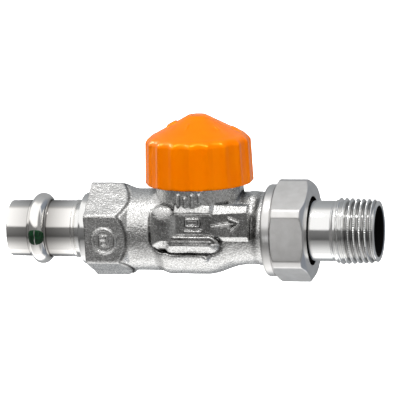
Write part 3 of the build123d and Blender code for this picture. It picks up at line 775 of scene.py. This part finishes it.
body_distance = casting()
low = (HEX_START - 1, -18, -18)
high = (BODY_END + 1, 18, BODY_HIGH[2] + 1)
points, faces = surface_of(body_distance, low, high, 0.36)
cast_body = make_piece("cast_body", points, faces, "body", cast_nickel)
# painted shade in the hollows of the casting, kept lighter near the nut, with a painted dark line along the
# inner border of the hexagon's flats
near_nut = np.clip((points[:, 0] - 79) / 3, 0, 0.3)
border = hexagon_border_shade(*points.T)
add_painted_shade_values(cast_body, body_distance, points, 0.8, 2.4, 1 - near_nut, border)
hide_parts("valve_body")

# ---- threads on the body

PIPE_PITCH = 1.814


def thread_height(phase):
    """Height between 0 and 1 of a pipe thread with narrow flat crests, by its share of a pitch."""
    away = np.abs((phase + 0.5) % 1 - 0.5)
    return np.clip(1.18 - away * 2.85, 0, 1)


def threaded_ring(name, place, start, end, first_crest, pitch, crest, root, core):
    """A closed ring of cast metal with a helical thread outside and a plain wall inside."""
    run = np.linspace(start, end, int((end - start) / 0.12))
    run_out = 0.8 * pitch
    fade = np.clip((run - start) / run_out, 0, 1) * np.clip((end - run) / run_out, 0, 1)

    def outline(angle):
        height = thread_height((run - first_crest) / pitch - angle / FULL_TURN) * fade
        outer = np.stack([run, root + (crest - root) * height], axis=1)
        return np.concatenate([outer, [[end, core], [start, core]]])

    points, faces = ring_of_outlines(outline, 240, place)
    piece = make_piece(name, points, faces, "body", cast_nickel)
    split_edges(piece, 50)


threaded_ring(
    "head_thread", lambda z, radius, angle: about_stem(radius, z, -angle),
    17.0, 25.4, 18.0, 1.5, 14.95, 14.02, 13.4,
)
threaded_ring("union_thread", about_pipe, 86.0, 92.4, 87.0, PIPE_PITCH, 13.1, 12.0, 11.4)

# ---- press socket and adapter

TUBE_BORE = 7.6  # radii
SLEEVE = 9.14
BEAD_X = 10.2  # middle of the bead's round wall, and its radii outside and inside
BEAD_CENTRE = 8.71
BEAD_OUTSIDE = 2.75
BEAD_INSIDE = 1.46
SPIGOT = 7.0
ADAPTER_BORE = 6.0
ADAPTER_ROOT, ADAPTER_CREST = 9.4, 10.26
ADAPTER_RIDGES = 5

socket_outline = [
    (0.0, 7.85, 0.15), (0.0, SLEEVE - 0.12, 0.35), (6.9, SLEEVE, 0.9),
    *arc((BEAD_X, BEAD_CENTRE), BEAD_OUTSIDE, 164, 16, 29),
    (13.5, SLEEVE, 0.9), (21.5, SLEEVE, 0.15), (21.8, SLEEVE + 0.24, 0.2), (22.7, SLEEVE + 0.24, 0.3),
    (22.7, SPIGOT), (20.0, SPIGOT), (20.0, TUBE_BORE), (12.0, TUBE_BORE, 0.3),
    *arc((BEAD_X, BEAD_CENTRE), BEAD_INSIDE, -28, 208, 21),
    (8.4, TUBE_BORE, 0.3), (0.3, TUBE_BORE, 0.2),
]
socket = turned_on_pipe("press_socket_sleeve", socket_outline, polished_steel)
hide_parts("press_socket")
along = np.array([vertex.co.x for vertex in socket.data.vertices]) / MM
# painted shade at both feet of the bead and on the end of the sleeve
bead_feet_shade = bell(along - 13.35, 0.55) + 0.55 * bell(along - 6.95, 0.4)
store_painted_shade(socket, np.clip(0.85 * bead_feet_shade + 0.5 * (along < 0.12), 0, 1))

adapter_outline = [
    (20.02, ADAPTER_BORE), (20.02, 6.98), (22.72, 6.98), (22.72, 8.4), (24.7, 8.4, 0.2),
    (24.7, 11.35, 0.4), (25.5, 11.65, 0.4), (27.38, 11.65, 0.25), (27.38, ADAPTER_ROOT),
    *[
        (27.6 + 1.2 + PIPE_PITCH * ridge + step, radius)
        for ridge in range(ADAPTER_RIDGES)
        for step, radius in (
            (0.0, ADAPTER_ROOT), (0.7, ADAPTER_CREST), (1.05, ADAPTER_CREST), (1.75, ADAPTER_ROOT),
        )
    ],
    (38.6, ADAPTER_ROOT), (38.6, ADAPTER_BORE),
]
adapter = turned_on_pipe("press_adapter_ring", adapter_outline, polished_nickel)
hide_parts("press_adapter")

# ---- paint mark on the bead

DAB_TURN, DAB_SIDE = 27, 16  # steps about the pipe and across the bead
DAB_MIDDLE, DAB_REACH = 95.0, 13.0  # degrees about the pipe
STEEPEST_LEAN = 0.985  # how far across the bead's round wall the dab may reach


def dab_patch(near, far):
    """One half of the dab, between two leans across the bead, as a closed thin patch."""
    points = []
    for share in np.linspace(-1, 1, DAB_TURN + 1):
        angle = math.radians(DAB_MIDDLE + DAB_REACH * share)
        wobble = 1 + 0.04 * math.sin(5 * share + 2) + 0.03 * math.sin(11 * share)
        reach_far = far * wobble * (1 - abs(share) ** 5) ** 0.5
        reach_near = near * (1 + 0.5 * math.sin(7 * share + far))
        if abs(reach_far) < abs(reach_near) + 0.02:
            reach_far = reach_near + math.copysign(0.02, far)
        under, over = [], []
        for side in np.linspace(0, 1, DAB_SIDE + 1):
            lean = reach_near + (reach_far - reach_near) * side
            lean = max(-STEEPEST_LEAN, min(STEEPEST_LEAN, lean))
            swell = max(0.0, (1 - (2 * side - 1) ** 8) * (1 - share**8))
            for skin, lift in ((under, -0.03), (over, 0.01 + 0.07 * swell)):
                reach = BEAD_OUTSIDE + lift
                radius = BEAD_CENTRE + reach * math.sqrt(1 - lean * lean)
                x = BEAD_X + reach * lean
                skin.append((x, -radius * math.sin(angle), radius * math.cos(angle)))
        points += under + over[::-1]
    loop = 2 * (DAB_SIDE + 1)
    last = len(points) - loop
    faces = grid_faces(loop, DAB_TURN + 1, closed_columns=False)
    for step in range(DAB_SIDE):
        end = (step, step + 1, loop - 2 - step, loop - 1 - step)
        faces += [end[::-1], tuple(last + corner for corner in end)]
    if far < 0:
        faces = [face[::-1] for face in faces]
    return points, faces


# an oval dab with an uneven edge, worn through along the crown of the bead
dab_points, dab_faces = [], []
for near, far in ((0.05, 0.96), (-0.05, -0.84)):
    points, faces = dab_patch(near, far)
    dab_faces += [tuple(len(dab_points) + corner for corner in face) for face in faces]
    dab_points += points
dab = make_piece("paint_dab", dab_points, dab_faces, "body", green_paint)
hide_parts("press_marker")

# ---- union nut

NUT_START = NUT_LOW[0]
NUT_END = NUT_HIGH[0]
NUT_HEX = NUT_START + 3.3
NUT_TURNS = (0.5, 60.5, 120.5)  # degrees about the pipe
NUT_HALF = 15.05
NUT_CORNER = 16.6  # radii
NUT_COLLAR = 14.8
NUT_BORE = 13.25
NUT_NECK = 9.88  # the hole that the tail comes through
NUT_MOUTH = 10.75


def nut_distance(x, y, z):
    """Distance to the union nut: hexagon with turned corners, collar, and stepped bore."""
    around = np.hypot(y, z)
    flats = flats_distance(y, z, NUT_TURNS, NUT_HALF, 0.12, crown=0.0018)
    corners = smooth_max(around - NUT_CORNER, 0.894 * (NUT_HEX - x) + 0.447 * (around - 15.1), 0.2)
    corners = smooth_max(corners, 0.788 * (x - NUT_END + 1.5) + 0.615 * (around - NUT_CORNER), 0.15)
    corners = smooth_max(corners, 0.995 * (x - NUT_END) + 0.0995 * (around - 12.5), 0.2)
    nut_hexagon = smooth_max(flats, corners, 0.2)
    nut_hexagon = smooth_max(smooth_max(nut_hexagon, x - NUT_END, 0.3), NUT_HEX - x, 0.2)
    collar = smooth_max(around - NUT_COLLAR, NUT_START - x, 1.2)
    collar = smooth_max(collar, x - NUT_HEX - 0.9, 0.2)
    shape = smooth_min(nut_hexagon, collar, 0.12)

    bore = np.minimum(np.maximum(around - NUT_BORE, x - 95.6), around - NUT_NECK)
    bore = smooth_min(bore, 0.74 * (NUT_END - 0.9 - x) + 0.67 * (around - 10.5), 0.3)
    bore = np.minimum(bore, np.maximum(around - NUT_MOUTH, NUT_END - 1.6 - x))
    lead_in = around - NUT_BORE - np.maximum(NUT_START + 0.5 - x, 0)
    bore = np.minimum(bore, np.maximum(lead_in, x - NUT_START - 1.1))
    return smooth_max(shape, -bore, 0.12)


points, faces = surface_of(nut_distance, NUT_LOW - 1, NUT_HIGH + 1, 0.28)
nut = make_piece("union_nut_hexagon", points, faces, "nut", satin_nickel)
# shading normals straight from the distance, so that flat faces reflect as flat
nut.data.normals_split_custom_set_from_vertices(outward(nut_distance, points, 0.03).tolist())
# painted shade in the hollows of the nut, at least a little everywhere in its mouth
mouth_shade = (np.hypot(points[:, 1], points[:, 2]) < NUT_MOUTH + 0.3) & (points[:, 0] > NUT_END - 2.5)
add_painted_shade_values(nut, nut_distance, points, 0.6, 1.2, 1, mouth_shade)
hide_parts("union_nut")

# ---- tailpiece

THREAD_START, THREAD_END = 108.15, 120.9
FIRST_CREST = 109.06
TAIL = 9.7  # radii
TAIL_BORE = 8.0
NOSE_BORE = 6.62
THREAD_CREST = 10.66  # at the first crest, tapering towards the end
thread_run = np.linspace(THREAD_START, THREAD_END, 126)

before_thread = [
    (89.6, NOSE_BORE), (89.6, 8.3), (90.38, 8.75), (90.4, 7.87), (91.8, 7.87), (91.82, 9.55),
    (92.7, 10.1), (92.9, 10.3), (92.9, 12.25), (93.05, 12.4), (95.15, 12.4), (95.3, 12.25),
    (95.3, 9.8), (95.4, TAIL), (NUT_END + 0.05, TAIL), (NUT_END + 0.3, TAIL), (107.0, TAIL),
    (107.1, 9.66), (107.2, 9.55), (107.45, 9.6), (107.9, 9.95), (108.05, 10.0),
]
after_thread = [
    (121.05, 9.8), (121.22, TAIL), (121.35, 9.55), (121.35, 8.35), (121.15, 8.05),
    (98.9, TAIL_BORE), (96.9, NOSE_BORE),
]


def tail_outline(angle):
    """Outline of the tailpiece at an angle: nose, collar, barrel, thread and bore."""
    height = thread_height((thread_run - FIRST_CREST) / PIPE_PITCH - angle / FULL_TURN)
    taper = THREAD_CREST - 0.035 * (thread_run - FIRST_CREST)
    grip = 0.2 * np.clip((thread_run - 111) / 4, 0, 1) * (0.5 + 0.5 * math.cos(90 * angle))
    crest = taper - grip * height**3
    root = profile(thread_run, [(108.15, 10.0), (109.6, 9.85), (112.2, 9.25)])
    starts = np.clip((thread_run - 107.9) / 1.0, 0.12, 1)
    ends = np.clip((THREAD_END - thread_run) / 1.1, 0, 1) ** 0.7
    radius = root + (crest - root) * height * ends * starts + 0.3 * (1 - height) * (1 - ends)
    return np.concatenate([before_thread, np.stack([thread_run, radius], axis=1), after_thread])


points, faces = ring_of_outlines(tail_outline, 480, about_pipe)
tail = make_piece("tailpiece_thread", points, faces, "tail", polished_nickel)
split_edges(tail, 38)
along, around = points[:, 0], np.hypot(points[:, 1], points[:, 2])
# painted shade: nearly black inside the bore and on the barrel under the nut, and darker towards the roots
# of the thread
on_thread = (along > 108.6) & (along < THREAD_END) & (around > 9.0)
in_bore = (around < TAIL_BORE + 0.2) & (along < 121.2)
in_nut = (around < TAIL + 0.2) & (along > 95) & (along < NUT_END + 0.1)
valley_shade = np.clip((10.05 - around) / 1.4, 0, 0.5) * np.clip((along - 109) / 3, 0, 1)
store_painted_shade(tail, np.where(in_bore | in_nut, 0.97, np.where(on_thread, valley_shade, 0)))
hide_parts("tailpiece")

# ---- protection cap

CAP_RIM = CAP_LOW[2]
CAP_TOP = CAP_HIGH[2]
CAP_ROOF = 30.32  # height of the roof inside, on the axis
FLUTES = 18
PEAK = 2.9  # radius of the nearly flat peak
PEAK_DROP = 0.12
CONE_EDGE = (14.2, 31.35)  # radius and height where the cone turns into the shoulder
SHOULDER_EDGE = (16.95, 28.6)  # and where the shoulder turns into the wall
FLARE = 0.42  # how much wider the wall is at the rim
CONE_FALL = CAP_TOP - PEAK_DROP - CONE_EDGE[1]


def cap_outline(angle):
    """Outline (radius, height) of the cap wall at an angle, from the peak outside to the roof inside."""
    rib = (0.5 + 0.5 * math.cos(FLUTES * angle + 1.886)) ** 2.2
    dent = 0.62 * (1 - rib)
    outer = [(PEAK * share, CAP_TOP - PEAK_DROP * share**2) for share in np.linspace(0, 1, 9)[1:]]
    for share in np.linspace(0, 1, 26)[1:]:
        outer.append((PEAK + (CONE_EDGE[0] - PEAK) * share, CAP_TOP - PEAK_DROP - CONE_FALL * share))
    for share in np.linspace(0, 1, 22)[1:]:
        turn = math.radians(90 * share)
        ease = share * share * (3 - 2 * share)
        radius = CONE_EDGE[0] + 2.75 * math.sin(turn) ** 1.15
        z = CONE_EDGE[1] - 2.75 * (1 - math.cos(turn)) - 0.55 * math.sin(2 * turn) / 2
        outer.append((radius - dent * ease, z))
    for share in np.linspace(0, 1, 22)[1:]:
        z = SHOULDER_EDGE[1] - (SHOULDER_EDGE[1] - CAP_RIM - 0.45) * share
        outer.append((SHOULDER_EDGE[0] + FLARE * share - dent * (1 - 0.4 * share), z))
    outer += [(17.2 - dent * 0.4, CAP_RIM + 0.12), (16.9, CAP_RIM), (15.8, CAP_RIM)]
    inner = [
        (15.15, CAP_RIM + 0.6), (15.1, CAP_RIM + 1.0), (15.1, 26.7), (14.8, 27.6), (13.3, 28.9),
        (4.9, 34.3), (4.6, 34.0), (4.6, 30.6), (4.3, CAP_ROOF),
    ]
    return np.array(outer + inner)


def closed_on_axis(outline, segments, top, bottom):
    """A ring of outlines about the stem, closed on the axis by two fans of triangles."""
    points, faces = ring_of_outlines(outline, segments, about_stem, closed=False)
    rows, crown, roof = len(points) // segments, len(points), len(points) + 1
    for turn in range(segments):
        here = turn * rows
        after = (turn + 1) % segments * rows
        faces += [(crown, here, after), (roof, after + rows - 1, here + rows - 1)]
    return np.concatenate([points, [[STEM_X, 0, top], [STEM_X, 0, bottom]]]), faces


def raise_lug(points, turn, radius, half_length, half_width, height):
    """Lets a low pad grow out of the cone of the cap, centred at a turn and a radius."""
    across, out = points[:, 0] - STEM_X, points[:, 1]
    distance = np.hypot(across, out)
    cone_z = CAP_TOP - PEAK_DROP - (distance - PEAK) * CONE_FALL / (CONE_EDGE[0] - PEAK)
    on_cone = (points[:, 2] > 30.5) & (distance > 3) & (np.abs(points[:, 2] - cone_z) < 0.3)
    cos, sin = math.cos(math.radians(turn)), math.sin(math.radians(turn))
    along = across * cos + out * sin - radius
    beside = out * cos - across * sin
    inside = np.maximum(np.abs(along) / half_length, np.abs(beside) / half_width)
    grow = np.clip((1.25 - inside) / 0.35, 0, 1)
    grow = grow * grow * (3 - 2 * grow)
    points[:, 2] += np.where(on_cone, height * grow, 0)


points, faces = closed_on_axis(cap_outline, 432, CAP_TOP, CAP_ROOF)
raise_lug(points, 12, 12.3, 1.3, 1.25, 0.45)
raise_lug(points, 192, 8.3, 1.4, 1.3, 0.65)
raise_lug(points, 259, 7.8, 1.0, 0.45, 0.3)
raise_lug(points, 325, 9.3, 0.9, 0.45, 0.3)
cap = make_piece("cap_shell", points, faces, "cap", orange_cap)
split_edges(cap, 50)
cap.visible_glossy = False  # keeps the bright plastic out of the plated metal, as in studio retouching
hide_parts("protection_cap")

# ---- studio room

CENTRE = Vector((STEM_X * MM, 0, 0))
DOME = 4.0  # radius in metres
FLOOR_Z = -0.06  # in metres

# How bright the room is by the angle about the pipe: 0 is in front, 90 above, 180 behind.
ROOM = [
    (-180, 0.58), (-124, 0.6), (-116, 0.85), (-110, 1.35), (-87, 1.35), (-82, 1.0), (-73, 0.92),
    (-63, 0.86), (-53, 0.78), (-39, 0.62), (-29, 0.54), (-22, 0.34), (-4, 0.42), (11, 0.46), (16, 1.0),
    (20, 1.1), (84, 1.1), (92, 0.95), (102, 0.74), (113, 0.66), (140, 0.6), (180, 0.6),
]


def room_bands(tree, share):
    """Colour of the room by the share of a full turn about the pipe, slightly cool behind."""
    ramp = tree.nodes.new("ShaderNodeValToRGB")
    tree.links.new(share, ramp.inputs["Fac"])
    elements = ramp.color_ramp.elements
    while len(elements) > 1:
        elements.remove(elements[-1])
    for index, (angle, value) in enumerate(ROOM):
        position = (angle + 180) / 360
        element = elements[0] if index == 0 else elements.new(position)
        element.position = position
        light = linear(value) / 0.86 if value < 1 else value
        cool = 1.03 if abs(angle) > 105 and value < 1 else 0.995
        element.color = (light / cool, light, light * cool, 1)
    return ramp.outputs["Color"]


world = bpy.data.worlds.new("studio")
bpy.context.scene.world = world
world.use_nodes = True
world.cycles_visibility.diffuse = False  # the room only shows in the metal, the lamps light the rest
tree = world.node_tree
place = tree.nodes.new("ShaderNodeTexCoord")
split = tree.nodes.new("ShaderNodeSeparateXYZ")
tree.links.new(place.outputs["Generated"], split.inputs["Vector"])
to_right, to_back, to_top = split.outputs
to_front = math_node(tree, "MULTIPLY", to_back, -1)
# directions far to one side count as in front, so that the bands close at both ends of the pipe
sideways = math_node(tree, "MULTIPLY", to_right, to_right)
ahead = math_node(tree, "MULTIPLY_ADD", sideways, 0.9, to_front)
swing = math_node(tree, "ARCTAN2", to_top, ahead)
bands = room_bands(tree, range_node(tree, swing, -math.pi, math.pi))
# a paler wall far to the right in front, and a cool grey one far to the right behind
far_right = range_node(tree, to_right, 0.4, 0.6)
right_front = math_node(tree, "MULTIPLY", far_right, range_node(tree, to_front, 0.0, 0.25))
right_back = math_node(tree, "MULTIPLY", far_right, range_node(tree, to_front, 0.1, -0.1))
walls = mix_node(tree, right_front, bands, (0.3, 0.3, 0.3, 1))
walls = mix_node(tree, right_back, walls, (0.24, 0.265, 0.31, 1))
tree.links.new(walls, tree.nodes["Background"].inputs["Color"])


def stage_piece(name, points, faces, glow):
    """A plain pale surface of the studio in metres, which glows a little so that it reads as white."""
    material = new_material(name + "_white", (0.9, 0.9, 0.9, 1), 0, 0.9)
    shader_of(material).inputs["Emission Color"].default_value = WHITE
    shader_of(material).inputs["Emission Strength"].default_value = glow
    mesh = bpy.data.meshes.new(name)
    mesh.from_pydata(points, [], faces)
    mesh.materials.append(material)
    piece = bpy.data.objects.new(name, mesh)
    bpy.context.scene.collection.objects.link(piece)
    piece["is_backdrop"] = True
    piece.visible_glossy = False
    piece.visible_diffuse = False
    return piece


def level_circle(radius, z, segments):
    """Points of a level circle."""
    turns = [FULL_TURN * step / segments for step in range(segments)]
    return [(radius * math.cos(turn), radius * math.sin(turn), z) for turn in turns]


stage_piece("floor", level_circle(DOME, FLOOR_Z, 96), [list(range(96))], 0.9)

dome_rings, dome_sides = 24, 64
dome_points = []
for tilt in np.linspace(0, math.pi / 2, dome_rings, endpoint=False):
    dome_points += level_circle(DOME * math.cos(tilt), DOME * math.sin(tilt) + FLOOR_Z, dome_sides)
dome_faces = grid_faces(dome_sides, dome_rings, closed_columns=False)
top_ring, top = len(dome_points) - dome_sides, len(dome_points)
dome_points.append((0, 0, DOME + FLOOR_Z))
dome_faces += [(top_ring + side, top_ring + (side + 1) % dome_sides, top) for side in range(dome_sides)]
backdrop = stage_piece("backdrop", dome_points, dome_faces, 1.0)
backdrop.visible_shadow = False
backdrop.visible_transmission = False

# ---- lamps

VIEW = (14.316, 11.012)  # azimuth and elevation of the camera, in degrees


def towards(azimuth, elevation):
    """Unit vector out of the valve. Azimuth 0 is in front, and turns to the right."""
    a, e = math.radians(azimuth), math.radians(elevation)
    return Vector((math.sin(a) * math.cos(e), -math.cos(a) * math.cos(e), math.sin(e)))


def soft_light(name, direction, distance, size, power, glossy=False):
    """A square lamp aimed at the middle of the valve. Distance and size are in metres."""
    data = bpy.data.lights.new(name, "AREA")
    data.shape = "SQUARE"
    data.size = size
    data.energy = power
    light = bpy.data.objects.new(name, data)
    bpy.context.scene.collection.objects.link(light)
    light.location = CENTRE + direction * distance
    light.rotation_euler = direction.to_track_quat("Z", "Y").to_euler()
    light.visible_glossy = glossy
    return light


def shown_only_on(lights, piece):
    """Lets lamps light one piece alone."""
    shown_on = bpy.data.collections.new(piece.name + "_alone")
    shown_on.objects.link(piece)
    for light in lights:
        light.light_linking.receiver_collection = shown_on


soft_light("key", towards(-40, 40), 0.9, 0.5, 6.8)
soft_light("fill", towards(62, 15), 1.0, 0.6, 7.8)
soft_light("side", towards(-95, 10), 1.0, 0.6, 3.5)
soft_light("top", towards(0, 80), 0.8, 0.5, 2.2)
soft_light("rear", towards(178, 25), 1.0, 0.6, 4.5)
soft_light("spark", towards(-14, 72), 0.8, 0.14, 0.5, glossy=True)

# a soft lamp low in front, which only the satin faces of the union nut show
shown_only_on([soft_light("glow", towards(-14, -9), 0.9, 0.16, 0.125, glossy=True)], nut)

# small lamps mirrored in the shoulder of the cap, one for each rib on the front
glints = []
for rib, power in ((-36, 4), (-16, 4.5), (4, 7), (24, 8)):
    shoulder, viewer = towards(rib, 40), towards(*VIEW)
    mirrored = 2 * shoulder.dot(viewer) * shoulder - viewer
    glint = soft_light(f"glint_{rib}", mirrored, 0.8, 0.26, power, glossy=True)
    glint.visible_diffuse = False
    glints.append(glint)
shown_only_on(glints, cap)

# ---- camera

ROLL = math.radians(2.203)
DISTANCE = 1.3267  # metres
SENSOR = 36
SPAN = 128.7  # millimetres across the picture, at the valve

back = towards(*VIEW)
level_right = Vector((math.cos(math.radians(VIEW[0])), math.sin(math.radians(VIEW[0])), 0))
level_up = back.cross(level_right)
right = level_right * math.cos(ROLL) - level_up * math.sin(ROLL)
up = level_right * math.sin(ROLL) + level_up * math.cos(ROLL)
camera_data = bpy.data.cameras.new("camera")
camera = bpy.data.objects.new("camera", camera_data)
bpy.context.scene.collection.objects.link(camera)
turn = Matrix((right, up, back)).transposed().to_4x4()
camera.matrix_world = Matrix.Translation(CENTRE + back * DISTANCE) @ turn
camera_data.sensor_width = SENSOR
camera_data.lens = SENSOR * DISTANCE / (SPAN * MM)
camera_data.shift_x = -0.0037875
camera_data.shift_y = 0.0737225
camera_data.clip_start, camera_data.clip_end = 0.05, 20
bpy.context.scene.camera = camera
bpy.context.scene.view_settings.view_transform = "Standard"

# ---- sizes

low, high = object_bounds()
